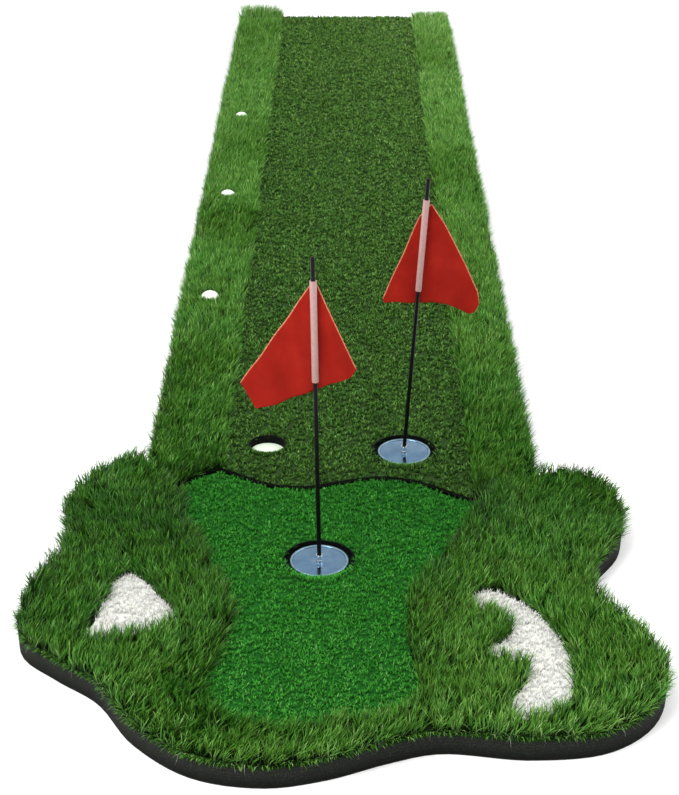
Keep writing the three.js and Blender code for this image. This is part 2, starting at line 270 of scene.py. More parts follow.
def rubber_material(name, dark, light, specular=0.08):
    material, shader = new_material(name, 0.85, specular=specular)
    grain = add_noise(material, 900.0, 4.0)
    link(material, add_ramp(material, grain, [(0.3, dark), (0.75, light)]), shader.inputs["Base Color"])
    add_bump(material, shader, grain, 0.4, 0.0005)
    return material


def moulded_material(name, colour, shade, roughness, scale=260.0, specular=0.4):
    """Moulded or painted finish with a faint mottle and a fine spark-eroded grain."""
    material, shader = new_material(name, roughness, specular=specular)
    mottle = add_noise(material, scale, 3.0)
    link(material, add_ramp(material, mottle, [(0.3, shade), (0.7, colour)]), shader.inputs["Base Color"])
    add_bump(material, shader, add_noise(material, scale * 9, 2.0), 0.12, 0.0002)
    return material


def disc_material():
    """Polished steel whose blue-grey colour is a painted reflection of a cool surround, faintly dulled by
    handling.
    """
    material, shader = new_material("base_polish", 0.12, metallic=1.0)
    tone = add_noise(material, 38.0, 3.0)
    # painted reflection: the blue-grey stands in for a cool surround seen in the polish
    colour = add_ramp(material, tone, [(0.3, srgb(88, 122, 150)), (0.7, srgb(116, 146, 174))])
    link(material, colour, shader.inputs["Base Color"])
    fine = add_noise(material, 700.0, 2.0)
    rough = add_ramp(material, fine, [(0.3, (0.08, 0.08, 0.08)), (0.8, (0.22, 0.22, 0.22))])
    link(material, rough, shader.inputs["Roughness"])
    return material


def rim_material():
    material, shader = new_material("base_rim", 0.25, metallic=1.0)
    tone = add_noise(material, 120.0, 3.0)
    # painted reflection: the blue-grey stands in for a cool surround, a little paler than the disc's as a
    # painted highlight
    colour = add_ramp(material, tone, [(0.3, srgb(104, 138, 158)), (0.7, srgb(140, 170, 184))])
    link(material, colour, shader.inputs["Base Color"])
    return material


def chrome_material():
    material, shader = new_material("ferrule_chrome", 0.08, metallic=1.0)
    tone = add_noise(material, 300.0, 2.0)
    colour = add_ramp(material, tone, [(0.3, srgb(214, 216, 218)), (0.8, srgb(244, 246, 248))])
    link(material, colour, shader.inputs["Base Color"])
    return material


def cloth_material():
    """Red plain weave: two crossed wave sets give the threads, slow noise the fading."""
    material, shader = new_material("pennant_weave", 0.8, specular=0.06)
    tone = add_noise(material, 22.0, 3.0)
    reds = [(0.25, srgb(142, 26, 17)), (0.55, srgb(158, 32, 22)), (0.8, srgb(172, 40, 28))]
    colour = add_ramp(material, tone, reds)
    weaves = []
    for direction in ("X", "Z"):
        wave = add_node(material, "ShaderNodeTexWave", Scale=330.0, Distortion=0.4,
                        bands_direction=direction)
        link(material, object_coords(material), wave.inputs["Vector"])
        weaves.append(wave.outputs["Fac"])
    weave = add_mix(material, 0.5, weaves[0], weaves[1])
    threads = add_ramp(material, weave, [(0.2, (0.72, 0.72, 0.72)), (0.8, (1, 1, 1))])
    link(material, add_mix(material, 1.0, colour, threads, "MULTIPLY"), shader.inputs["Base Color"])
    add_bump(material, shader, weave, 0.35, 0.0003)
    return material


# ---- meshes ----


def add_piece(name, mesh, body):
    piece = bpy.data.objects.new(name, mesh)
    bpy.context.scene.collection.objects.link(piece)
    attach(piece, body)
    return piece


def hand_over(piece, node):
    """The piece takes the place of a CAD node, which is hidden."""
    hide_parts(node)


def node_middle(node):
    low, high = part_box(node)
    return (np.array(low) + np.array(high)) / 2


def heights(node):
    """(lowest, highest) of a node at rest, in mm."""
    low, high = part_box(node)
    return low[2] / MM, high[2] / MM


def radius_of(node):
    """Half the width of a round node, in mm."""
    low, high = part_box(node)
    return (high[0] - low[0]) / 2 / MM


def node_arrays(node):
    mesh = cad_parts[node].data
    mesh.calc_loop_triangles()
    points = np.zeros(len(mesh.vertices) * 3)
    mesh.vertices.foreach_get("co", points)
    triangles = np.zeros(len(mesh.loop_triangles) * 3, int)
    mesh.loop_triangles.foreach_get("vertices", triangles)
    return points.reshape(-1, 3), triangles.reshape(-1, 3)


def top_faces(node):
    """The triangles of a turf node's upper face, as (n, 3 corners, xyz)."""
    points, triangles = node_arrays(node)
    corners = points[triangles]
    highest = points[:, 2].max()
    return corners[(np.abs(corners[:, :, 2] - highest) < 1e-5).all(axis=1)]


def rim_edges(corners):
    """The outer and inner boundary of some flat triangles, as (n, 2 ends, xy)."""
    count = {}
    for triangle in np.round(corners[:, :, :2], 6):
        for i in range(3):
            a, b = tuple(triangle[i]), tuple(triangle[(i + 1) % 3])
            count[(a, b)] = count.get((a, b), 0) + 1
    single = [(a, b) for (a, b) in count if (b, a) not in count]
    return np.array(single)


def scatter(corners, spacing, rng):
    """Random points on flat triangles, about one for each spacing squared."""
    a, b, c = corners[:, 0, :2], corners[:, 1, :2], corners[:, 2, :2]
    areas = 0.5 * np.abs((b - a)[:, 0] * (c - a)[:, 1] - (b - a)[:, 1] * (c - a)[:, 0])
    total = int(areas.sum() / spacing**2)
    chosen = rng.choice(len(areas), size=total, p=areas / areas.sum())
    u, v = rng.random((2, total, 1))
    flip = (u + v) > 1
    u, v = np.where(flip, 1 - u, u), np.where(flip, 1 - v, v)
    return a[chosen] + u * (b - a)[chosen] + v * (c - a)[chosen]


def nearest_rim(points, edges, batch=4000):
    """For each point, the distance to the nearest boundary edge and the unit direction towards it."""
    start, along = edges[:, 0], edges[:, 1] - edges[:, 0]
    length2 = (along**2).sum(axis=1)
    distance = np.empty(len(points))
    towards = np.empty((len(points), 2))
    for i in range(0, len(points), batch):
        some = points[i : i + batch, None, :] - start[None]
        share = np.clip((some * along).sum(axis=2) / length2, 0, 1)
        offset = share[:, :, None] * along - some
        size = np.linalg.norm(offset, axis=2)
        best = size.argmin(axis=1)
        rows = np.arange(len(best))
        distance[i : i + batch] = size[rows, best]
        towards[i : i + batch] = offset[rows, best] / np.maximum(size[rows, best], 1e-9)[:, None]
    return distance, towards


def tufted(corners, spacing, strands, splay, rng):
    """Strand roots in stitched tufts: (points, lean away from each tuft's middle)."""
    middles = scatter(corners, spacing, rng)
    angle = rng.uniform(0, 2 * math.pi, (len(middles), strands))
    reach = splay * np.sqrt(rng.random((len(middles), strands)))
    offset = np.stack([np.cos(angle) * reach, np.sin(angle) * reach], axis=2)
    points = (middles[:, None] + offset).reshape(-1, 2)
    return points, (offset / splay).reshape(-1, 2)


def strands_mesh(name, roots, base, height, width, lean, levels, material, tints, rng, droop):
    """One tapering ribbon for each root. lean is each tip's sideways reach as a share of its height, and
    droop is how far the tip falls below a straight strand's, as another share of it."""
    count = len(roots)
    facing = rng.uniform(0, math.pi, count)
    across = np.stack([np.cos(facing), np.sin(facing)], axis=1)
    steep = 1 / np.sqrt(1 + (lean**2).sum(axis=1))
    rows, shares = [], []
    for share in levels:
        middle = np.empty((count, 3))
        middle[:, :2] = roots + lean * (height * share**1.8 * steep)[:, None]
        middle[:, 2] = base + height * (steep * share - droop * share**3)
        if share < 1:
            half = 0.5 * width * (1 - 0.75 * share**2)
            for side in (-1, 1):
                point = middle.copy()
                point[:, :2] += side * across * half[:, None]
                rows.append(point)
                shares.append(share)
        else:
            rows.append(middle)
            shares.append(share)
    per = len(rows)
    vertices = np.stack(rows, axis=1).reshape(-1, 3)
    first = np.arange(count) * per
    quads = [np.stack([first + 2 * k, first + 2 * k + 1, first + 2 * k + 3, first + 2 * k + 2], axis=1)
             for k in range(len(levels) - 2)]
    tips = np.stack([first + per - 3, first + per - 2, first + per - 1], axis=1)
    mesh = bpy.data.meshes.new(name)
    loops = np.concatenate([np.concatenate(quads).ravel(), tips.ravel()])
    quad_count = len(quads) * count
    starts = np.concatenate([np.arange(quad_count) * 4, quad_count * 4 + np.arange(count) * 3])
    mesh.vertices.add(len(vertices))
    mesh.vertices.foreach_set("co", vertices.ravel())
    mesh.loops.add(len(loops))
    mesh.loops.foreach_set("vertex_index", loops.astype(np.int32))
    mesh.polygons.add(len(starts))
    mesh.polygons.foreach_set("loop_start", starts.astype(np.int32))
    mesh.update(calc_edges=True)
    mesh.validate()
    for label, values in (("along", np.tile(shares, count)), ("tint", np.repeat(tints, per))):
        layer = mesh.attributes.new(label, "FLOAT", "POINT")
        layer.data.foreach_set("value", values.astype(np.float32))
    mesh.polygons.foreach_set("use_smooth", [True] * len(mesh.polygons))
    mesh.materials.append(material)
    return add_piece(name, mesh, MAT)


# ---- turf ----

PILE_ROOT = 34 * MM  # top of the rough's backing, above the floor
WEAVE_TOP = 36 * MM  # top of the fairway's and the bunkers' backing
FELT_TOP = 37 * MM  # top of the green's backing
BLADE_SPACING = 6.7 * MM  # between tufts
FRINGE_SPACING = 0.75 * MM  # between blades, along an edge
LONG_LEVELS = (0.0, 0.4, 0.75, 1.0)
LONG_STRANDS = 6  # in a tuft
SHORT_STRANDS = 4
SHORT_LEVELS = (0.0, 0.6, 1.0)
THREAD_LEVELS = (0.0, 0.25, 0.5, 0.75, 1.0)
THREAD_WIDTH = 0.55 * MM
STRAY_THREADS = 16
FRINGE_ROOT = 37 * MM  # where the strands round a cup's mouth stand
WELL_REACH = 40 * MM  # boundary edges this close to a ball are its well's
PIECE_STRANDS = 36000  # the most strands in one piece
SEED = 11


def away_from_balls(edges):
    """The boundary edges that aren't on the rim of a ball's well."""
    keep = np.ones(len(edges), bool)
    for ball in BALLS:
        middle = node_middle(ball)[:2]
        keep &= np.linalg.norm(edges[:, 0] - middle, axis=1) > WELL_REACH
    return edges[keep]


def plant(name, node, roots, base, height, width, lean, levels, material, tints, rng, droop=0.0):
    """Strands over a node, in as many pieces as keep each one's mesh moderate."""
    order = rng.permutation(len(roots))
    for i, some in enumerate(np.array_split(order, math.ceil(len(roots) / PIECE_STRANDS))):
        piece = strands_mesh(f"{name}_{i + 1}", roots[some], base, height[some], width[some], lean[some],
                             levels, material, tints[some], rng, droop)
        hand_over(piece, node)


def drift(roots):
    """Slow swirls of the nap over the mat, as a lean."""
    x, y = roots[:, 0], roots[:, 1]
    angle = 0.7 + 1.3 * np.sin(9.1 * x + 2.3 * np.sin(5.3 * y)) + 0.9 * np.sin(7.7 * y + 4.1 * x)
    return np.stack([np.cos(angle), np.sin(angle)], axis=1)


def tinted(count, strands, rng, shift):
    """Each strand's shade: nearly half of it is its tuft's own."""
    tuft = np.repeat(rng.beta(1.5, 2.1, count // strands), strands)
    return np.clip(0.45 * tuft + 0.55 * rng.beta(1.4, 2.0, count) + shift, 0, 1)


def far_glow(roots):
    """The strip grows paler towards its far end, most on the right, and the head towards its front."""
    y = roots[:, 1]
    x = roots[:, 0]
    far = np.clip((y + 1.0) / 2.8, 0, 1)
    near = np.clip((-1.5 - y) / 0.3, -0.8, 1) * (y < -1.1)
    return 0.15 * far + 0.08 * far * np.clip(x / 0.2, 0, 1) + 0.1 * near


def left_shade(roots):
    """The head's left lobe is a touch darker, where its pile lies away from the light."""
    x, y = roots[:, 0], roots[:, 1]
    lobe = np.clip((y + 1.72) / 0.1, 0, 1) * np.clip((-1.15 - y) / 0.1, 0, 1)
    return 0.1 * lobe * np.clip((-x - 0.2) / 0.15, 0, 1)


def curl_up(roots):
    """The pile stands taller at the strip's far left corner, where the mat was rolled tightest."""
    x, y = roots[:, 0], roots[:, 1]
    far = np.clip((y - 1.80) / 0.06, 0, 1)
    left = np.clip((-0.19 - x) / 0.03, 0, 1)
    return 0.85 * far * left


def grow_long(node, material, rng, nap, rim_lean):
    """Long blades in tufts. nap is their common lean, and rim_lean leans them out along the boundary."""
    corners = top_faces(node)
    roots, splay = tufted(corners, BLADE_SPACING, LONG_STRANDS, 3.6 * MM, rng)
    distance, towards = nearest_rim(roots, away_from_balls(rim_edges(corners)))
    count = len(roots)
    lean = splay * 0.25 + rng.normal(0, 0.3, (count, 2)) + 0.26 * drift(roots) + np.array(nap)
    lean += towards * (rim_lean * np.clip(1 - distance / (16 * MM), 0, 1))[:, None]
    height = np.clip(rng.normal(26.5, 2.4, count), 18, 33) * MM
    height *= 1 + curl_up(roots)
    width = rng.uniform(1.1, 2.2, count) * MM
    # painted shade: strands within 80 mm of the green's edge are darkened, where the pile shades itself
    green_distance, _ = nearest_rim(roots, rim_edges(top_faces("green_turf")))
    shade = 0.16 * np.clip(1 - green_distance / (80 * MM), 0, 1)
    tints = tinted(count, LONG_STRANDS, rng, far_glow(roots) - shade - left_shade(roots))
    plant(f"{node}_blades", node, roots, PILE_ROOT, height, width, lean, LONG_LEVELS, material, tints,
          rng)


def grow_fringe(node, foam_node, material, rng):
    """Blades that flop out over the outer edge and hide the backing's cut edge."""
    edges = rim_edges(top_faces(node))
    middles = edges.mean(axis=1)
    gap, _ = nearest_rim(middles, rim_edges(top_faces(foam_node)))
    edges = edges[gap < 1 * MM]
    along = edges[:, 1] - edges[:, 0]
    length = np.linalg.norm(along, axis=1)
    total = int(length.sum() / FRINGE_SPACING)
    chosen = rng.choice(len(edges), size=total, p=length / length.sum())
    unit = along[chosen] / length[chosen][:, None]
    outward = np.stack([unit[:, 1], -unit[:, 0]], axis=1)
    inset = rng.uniform(0.5, 7, total) * MM
    roots = edges[chosen, 0] + along[chosen] * rng.random((total, 1)) - outward * inset[:, None]
    lean = outward * rng.uniform(0.5, 1.5, (total, 1)) + rng.normal(0, 0.35, (total, 2))
    height = rng.uniform(12, 20, total) * MM
    width = rng.uniform(1.0, 1.8, total) * MM
    tints = np.clip(rng.beta(1.5, 2.6, total) + far_glow(roots) - 0.05, 0, 1)
    plant(f"{node}_fringe", node, roots, PILE_ROOT, height, width, lean, LONG_LEVELS, material, tints,
          rng, droop=0.35)


def grow_collars(material, rng):
    """Blades on the near side of each ball's well that lean over the ball."""
    for ball, count, reach, tall in (
        ("golf_ball_1", 260, (0.0, 0.25), (19, 25)),
        ("golf_ball_2", 520, (0.2, 0.9), (23, 28)),
        ("golf_ball_3", 700, (0.4, 1.2), (25, 31)),
    ):
        middle = node_middle(ball)[:2]
        angle = rng.uniform(-math.pi, 0, count)
        away = rng.uniform(23.5, 33, count) * MM
        out = np.stack([np.cos(angle), np.sin(angle)], axis=1)
        roots = middle + out * away[:, None]
        lean = -out * rng.uniform(*reach, (count, 1)) + rng.normal(0, 0.18, (count, 2))
        height = rng.uniform(*tall, count) * MM
        width = rng.uniform(1.4, 2.4, count) * MM
        tints = np.clip(rng.beta(1.7, 2.3, count), 0, 1)
        plant(f"{ball}_collar", "rough_turf_left", roots, PILE_ROOT, height, width, lean,
              LONG_LEVELS, material, tints, rng)


def grow_short(node, material, spacing, base, tall, rng, curl, width):
    """Short curled tufts. tall and width are ranges in mm."""
    corners = top_faces(node)
    roots, splay = tufted(corners, spacing, SHORT_STRANDS, 2.0 * MM, rng)
    distance, towards = nearest_rim(roots, rim_edges(corners))
    count = len(roots)
    lean = splay * 0.5 + rng.normal(0, curl, (count, 2))
    lean += towards * (0.9 * np.clip(1 - distance / (5 * MM), 0, 1))[:, None]
    height = rng.uniform(*tall, count) * MM
    tints = tinted(count, SHORT_STRANDS, rng, far_glow(roots))
    wide = rng.uniform(*width, count) * MM
    plant(f"{node}_tufts", node, roots, base, height, wide, lean, SHORT_LEVELS, material, tints, rng)


def grow_cup_fringe(cup, node, material, rng, count=900, reach=(0.6, 1.9), tall=(8, 12.5)):
    """Short strands that reach over the near side of a cup and hide its rim."""
    middle, radius = node_middle(cup)[:2], radius_of(cup) * MM
    angle = rng.normal(-math.pi / 2, 0.62, count)
    away = radius + rng.uniform(0.4, 4.5, count) * MM
    out = np.stack([np.cos(angle), np.sin(angle)], axis=1)
    roots = middle + out * away[:, None]
    lean = -out * rng.uniform(*reach, (count, 1)) + rng.normal(0, 0.3, (count, 2))
    height = rng.uniform(*tall, count) * MM
    width = rng.uniform(1.4, 2.4, count) * MM
    tints = np.clip(rng.beta(1.4, 3.2, count), 0, 1)
    plant(f"{cup}_fringe", node, roots, FRINGE_ROOT, height, width, lean, SHORT_LEVELS, material,
          tints, rng)


def add_stray_threads(rng):
    """A few pale loose threads that hang over the head's front edge."""
    material, shader = new_material("stray_thread", 0.6)
    tone = add_noise(material, 90.0, 2.0)
    link(material, add_ramp(material, tone, [(0.3, srgb(150, 160, 140)), (0.7, srgb(206, 212, 198))]),
         shader.inputs["Base Color"])
    edges = rim_edges(top_faces("head_rough_turf"))
    gap, _ = nearest_rim(edges.mean(axis=1), rim_edges(top_faces("head_foam_base")))
    edges = edges[(gap < 1 * MM) & (edges[:, 0, 1] < -1.6)]
    chosen = rng.choice(len(edges), size=STRAY_THREADS, replace=False)
    along = edges[chosen, 1] - edges[chosen, 0]
    unit = along / np.linalg.norm(along, axis=1)[:, None]
    outward = np.stack([unit[:, 1], -unit[:, 0]], axis=1)
    roots = edges[chosen].mean(axis=1) - outward * 2 * MM
    count = len(roots)
    lean = outward * rng.uniform(0.35, 0.6, (count, 1)) + unit * rng.uniform(-0.5, 0.5, (count, 1))
    height = rng.uniform(17, 26, count) * MM
    plant("stray_threads", "head_rough_turf", roots, PILE_ROOT, height,
          np.full(count, THREAD_WIDTH), lean, THREAD_LEVELS, material, np.full(count, 0.5), rng, droop=1.35)


def lay_backing(node, top, material):
    """The turf solid of a node brought down to its backing."""
    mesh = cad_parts[node].data.copy()
    mesh.name = f"{node}_backing"
    points = np.zeros(len(mesh.vertices) * 3)
    mesh.vertices.foreach_get("co", points)
    points = points.reshape(-1, 3)
    points[points[:, 2] > points[:, 2].min() + MM, 2] = top
    mesh.vertices.foreach_set("co", points.ravel())
    mesh.update()
    mesh.materials.clear()
    mesh.materials.append(material)
    hand_over(add_piece(f"{node}_backing", mesh, MAT), node)


def add_rough(rng):
    rough = rough_pile()
    thatch = backing_material("rough_thatch", srgb(8, 18, 6), srgb(30, 54, 18))
    for node, foam_node, rim_lean, nap in (
        ("head_rough_turf", "head_foam_base", 0.5, (0.12, 0.05)),
        ("rough_turf_left", "strip_foam_base", 0.3, (0.06, 0.08)),
        ("rough_turf_right", "strip_foam_base", 0.3, (0.0, 0.08)),
    ):
        lay_backing(node, PILE_ROOT, thatch)
        grow_long(node, rough, rng, nap, rim_lean)
        grow_fringe(node, foam_node, rough, rng)
    grow_collars(rough, rng)


def add_fairway(rng):
    node, slot = "fairway_turf", "fairway_pile"
    weave = backing_material("fairway_thatch", srgb(24, 42, 16), srgb(52, 80, 34))
    lay_backing(node, WEAVE_TOP, weave)
    pile = fairway_pile()
    grow_short(node, pile, 6.2 * MM, 35.5 * MM, (6.5, 10), rng, curl=0.62, width=(1.9, 3.1))
    grow_cup_fringe("rear_cup_liner", node, pile, rng)
    grow_cup_fringe("practice_hole_liner", node, pile, rng, 420, (0.1, 0.8), (7, 9.5))


def add_green(rng):
    node, slot = "green_turf", "green_pile"
    felt = backing_material("green_thatch", srgb(14, 62, 14), srgb(30, 100, 28))
    lay_backing(node, FELT_TOP, felt)
    pile = green_pile()
    grow_short(node, pile, 4.9 * MM, 36.5 * MM, (5.5, 8.0), rng, curl=0.5, width=(1.3, 2.2))
    grow_cup_fringe("front_cup_liner", node, pile, rng)


def add_bunkers(rng):
    sand = backing_material("bunker_thatch", srgb(205, 206, 196), srgb(238, 238, 230))
    pile, slot = white_pile(), "bunker_pile"
    for node in ("bunker_left", "bunker_right"):
        lay_backing(node, WEAVE_TOP, sand)
        grow_short(node, pile, 4.0 * MM, 35 * MM, (6, 9.5), rng, curl=0.55, width=(1.0, 1.8))


def add_turf():
    rng = np.random.default_rng(SEED)
    add_rough(rng)
    add_fairway(rng)
    add_green(rng)
    add_bunkers(rng)
    add_stray_threads(rng)


# ---- base, seam and holes ----

SHARP = math.radians(60)  # edges that turn more than this are rounded


def refined(node, name, material, bevel, segments=2):
    """A copy of a CAD node with its sharp edges rounded and its walls smooth-shaded."""
    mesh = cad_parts[node].data.copy()
    mesh.name = name
    build = bmesh.new()
    build.from_mesh(mesh)
    bmesh.ops.remove_doubles(build, verts=build.verts, dist=1e-6)
    sharp = [e for e in build.edges if len(e.link_faces) == 2 and e.calc_face_angle(0) > SHARP]
    bmesh.ops.bevel(build, geom=sharp, offset=bevel, segments=segments, profile=0.5, affect="EDGES",
                    clamp_overlap=True)
    build.to_mesh(mesh)
    build.free()
    mesh.materials.clear()
    mesh.materials.append(material)
    for polygon in mesh.polygons:
        polygon.use_smooth = abs(polygon.normal.z) < 0.95
    hand_over(add_piece(name, mesh, MAT), node)


def add_base():
    foam = foam_material()
    underlay = rubber_material("underlay_rubber", srgb(20, 20, 19), srgb(40, 40, 38))
    for section in ("strip", "head"):
        refined(f"{section}_foam_base", f"{section}_foam", foam, 1.2 * MM)
        refined(f"{section}_underlay", f"{section}_underlay_sheet", underlay, 0.5 * MM)
    edging = rubber_material("edging_rubber", srgb(3, 4, 3), srgb(13, 14, 12), 0.02)
    refined("seam_edging", "seam_edging_strip", edging, 1.5 * MM, segments=3)


SEGMENTS = 96  # round a turned piece
SMOOTH = math.radians(35)  # a turned edge that bends less than this is shaded smooth


def turned(name, profile, middle, material, body, turn=None):
    """A closed [radius, height] profile in mm, turned about +Z, tipped by turn and moved to middle."""
    build = bmesh.new()
    rows = []
    for i in range(SEGMENTS):
        angle = 2 * math.pi * i / SEGMENTS
        across, away = math.cos(angle) * MM, math.sin(angle) * MM
        rows.append([build.verts.new((r * across, r * away, z * MM)) for r, z in profile])
    for i in range(SEGMENTS):
        near, far = rows[i], rows[(i + 1) % SEGMENTS]
        for k in range(len(profile)):
            m = (k + 1) % len(profile)
            if profile[k][0] > 0 or profile[m][0] > 0:
                build.faces.new((near[k], far[k], far[m], near[m]))
    bmesh.ops.remove_doubles(build, verts=build.verts, dist=1e-7)
    bmesh.ops.dissolve_degenerate(build, edges=build.edges, dist=1e-7)
    bmesh.ops.recalc_face_normals(build, faces=build.faces)
    for edge in build.edges:
        edge.smooth = len(edge.link_faces) != 2 or edge.calc_face_angle(0) < SMOOTH
    mesh = bpy.data.meshes.new(name)
    build.to_mesh(mesh)
    build.free()
    if turn is not None:
        mesh.transform(turn.to_4x4())
    mesh.transform(Matrix.Translation(Vector(middle)))
    for polygon in mesh.polygons:
        polygon.use_smooth = True
    mesh.materials.append(material)
    return add_piece(name, mesh, body)


def eased(profile, radius, steps=3):
    """The profile with its square corners off the axis rounded."""
    result = []
    count = len(profile)
    for k, corner in enumerate(profile):
        here = np.array(corner, float)
        before = np.array(profile[k - 1], float) - here
        after = np.array(profile[(k + 1) % count], float) - here
        short = min(np.linalg.norm(before), np.linalg.norm(after)) * 0.45
        reach = min(radius, short)
        if corner[0] <= 0 or reach < 0.05:
            result.append(tuple(here))
            continue
        start = here + before / np.linalg.norm(before) * reach
        end = here + after / np.linalg.norm(after) * reach
        for i in range(steps + 1):
            t = i / steps
            result.append(tuple((1 - t) ** 2 * start + 2 * t * (1 - t) * here + t**2 * end))
    return result


CUP_WALL = 2.0
REST_GAP = 0.3  # between a piece and what it rests on


def add_liner(node, floor, material):
    """A black plastic cup let into the turf, with a rolled rim."""
    low, high = heights(node)
    x, y, _ = node_middle(node)
    outer = radius_of(node)
    inner = outer - CUP_WALL
    corners = [(0, low), (outer, low), (outer, high), (inner, high), (inner, floor), (0, floor)]
    hand_over(turned(f"{node}_ring", eased(corners, 0.8), (x, y, 0), material, MAT), node)


def add_insert(node, material):
    """The white disc in the practice hole, with a fine groove near its edge."""
    low, high = heights(node)
    x, y, _ = node_middle(node)
    radius = radius_of(node)
    groove = radius * 0.8
    corners = [(0, low), (radius, low), (radius, high), (groove + 1, high), (groove, high - 0.4),
               (groove - 1, high), (0, high)]
    piece = turned("practice_hole_insert", eased(corners, 0.4), (x, y, 0), material, MAT)
    hand_over(piece, node)


def add_holes():
    plastic = moulded_material("cup_plastic", srgb(11, 13, 12), srgb(5, 6, 6), 0.7, specular=0.06)
    for liner, content in (
        ("front_cup_liner", "front_flag_base"),
        ("rear_cup_liner", "rear_flag_base"),
        ("practice_hole_liner", "practice_hole_floor"),
    ):
        add_liner(liner, heights(content)[0] - REST_GAP, plastic)
    insert = moulded_material("hole_insert", srgb(222, 234, 216), srgb(204, 218, 198), 0.5, 120.0)
    add_insert("practice_hole_floor", insert)


# ---- golf balls ----

DIMPLES = 336
DIMPLE_RADIUS = 1.75  # mm
DIMPLE_DEPTH = 0.22  # mm


def ball_material():
    material, shader = new_material("ball_shell", 0.22)
    shader.inputs["Coat Weight"].default_value = 0.4
    tone = add_noise(material, 150.0, 3.0)
    colour = add_ramp(material, tone, [(0.3, srgb(236, 240, 232)), (0.7, srgb(250, 252, 248))])
    link(material, colour, shader.inputs["Base Color"])
    return material


def dimple_centres():
    """Dimples spread evenly over a unit ball, on a golden-angle spiral."""
    up = 1 - (np.arange(DIMPLES) + 0.5) * 2 / DIMPLES
    angle = np.arange(DIMPLES) * math.pi * (3 - math.sqrt(5))
    ring = np.sqrt(1 - up**2)
    return np.stack([np.cos(angle) * ring, np.sin(angle) * ring, up], axis=1)


def add_balls():
    material = ball_material()
    centres = dimple_centres()
    for i, node in enumerate(BALLS):
        low, high = heights(node)
        radius = (high - low) / 2
        build = bmesh.new()
        bmesh.ops.create_icosphere(build, subdivisions=6, radius=1.0)
        mesh = bpy.data.meshes.new(f"{node}_shell")
        build.to_mesh(mesh)
        build.free()
        points = np.zeros(len(mesh.vertices) * 3)
        mesh.vertices.foreach_get("co", points)
        points = points.reshape(-1, 3)
        nearest = np.concatenate([(part @ centres.T).max(axis=1) for part in np.array_split(points, 12)])
        away = np.arccos(np.clip(nearest, -1, 1)) * radius
        dip = DIMPLE_DEPTH * np.clip(1 - (away / DIMPLE_RADIUS) ** 2, 0, 1)
        points *= ((radius - dip) * MM)[:, None]
        points += node_middle(node)
        mesh.vertices.foreach_set("co", points.ravel())
        mesh.update()
        mesh.materials.append(material)
        for polygon in mesh.polygons:
            polygon.use_smooth = True
        hand_over(add_piece(f"{node}_shell", mesh, f"ball_{i + 1}"), node)


# ---- flagsticks ----

LEAN = {"front": math.radians(-0.8), "rear": math.radians(3.4)}  # towards +X
TILT = {"front": 0.0, "rear": math.radians(2.5)}  # towards -Y
PIVOT = 45.55  # middle of the ferrule's socket, about which the stick leans, in mm
RIM_WIDTH = 3.5
DISH_DEPTH = 1.0  # from the rim's top down to the disc
FERRULE_RADII = (4.0, 5.0)
POLE_RADIUS = 3.3
POLE_TOP = 548
SLEEVE_RADII = (3.7, 5.2)
SLEEVE_SPAN = (349, 511)
# pennant outlines in mm: across from the stick, and up from the foot of the sleeve
PENNANT_TOP = {
    "front": [(-112, -9), (-6, 151), (6, 153), (61, 14)],
    "rear": [(-57, -22), (-9, 129), (9, 154), (34, 118), (78, 40), (101, -6), (104, -27)],
}
PENNANT_BOTTOM = {
    "front": [(-112, -9), (-90, -53), (0, -16), (22, -8), (53, 3), (61, 14)],
    "rear": [(-57, -22), (-54, -30), (0, -25), (46, -24), (62, -31), (88, -47), (98, -43), (104, -27)],
}


def stick_turn(flag):
    return Matrix.Rotation(TILT[flag], 3, "X") @ Matrix.Rotation(LEAN[flag], 3, "Y")


def add_foot(flag, disc, rim):
    """The weighted disc that stands in the cup, and the raised rim round it."""
    node, body = f"{flag}_flag_base", f"{flag}_flagstick"
    x, y, _ = node_middle(node)
    low, high = heights(node)
    radius = radius_of(node)
    rim_inner = radius - RIM_WIDTH
    dish = high - DISH_DEPTH
    foot = eased([(0, low), (rim_inner - 0.8, low), (rim_inner - 0.8, dish), (0, dish)], 0.2)
    ring = eased([(rim_inner - 0.6, low), (radius, low), (radius, high), (rim_inner, high),
                  (rim_inner - 0.6, dish)], 0.9)
    hand_over(turned(f"{flag}_base_disc", foot, (x, y, 0), disc, body), node)
    hand_over(turned(f"{flag}_base_rim", ring, (x, y, 0), rim, body), node)


def add_ferrule(flag, chrome):
    """The short socket on the disc that the pole stands in."""
    node = f"{flag}_flag_ferrule"
    x, y, _ = node_middle(f"{flag}_flag_base")
    low, high = heights(node)
    bore, outer = FERRULE_RADII
    waist = outer - 0.3
    floor = low + 1.5
    profile = [(0, low), (outer, low), (outer, low + 2), (waist, low + 2.4), (waist, high - 2.4),
               (outer, high - 2), (outer, high), (bore, high), (bore, floor), (0, floor)]
    ferrule = turned(f"{flag}_ferrule", eased(profile, 0.35), (x, y, 0), chrome, f"{flag}_flagstick")
    hand_over(ferrule, node)


def add_pole(flag, paint):
    """The pole, with a fine groove above the sleeve and a rounded top."""
    x, y, _ = node_middle(f"{flag}_flag_base")
    low, _ = heights(f"{flag}_flag_ferrule")
    foot = low + 2.1 - PIVOT
    top = POLE_TOP - PIVOT
    joint = SLEEVE_SPAN[1] + 6 - PIVOT
    groove = POLE_RADIUS - 0.4
    profile = [(0, foot), (POLE_RADIUS, foot), (POLE_RADIUS, joint), (groove, joint + 0.4),
               (groove, joint + 1.2), (POLE_RADIUS, joint + 1.6), (POLE_RADIUS, top - 3),
               (POLE_RADIUS * 0.87, top - 1.5), (POLE_RADIUS * 0.5, top - 0.4), (0, top)]
    pivot = (x, y, PIVOT * MM)
    pole = turned(f"{flag}_pole", profile, pivot, paint, f"{flag}_flagstick", stick_turn(flag))
    hand_over(pole, f"{flag}_flag_pole")


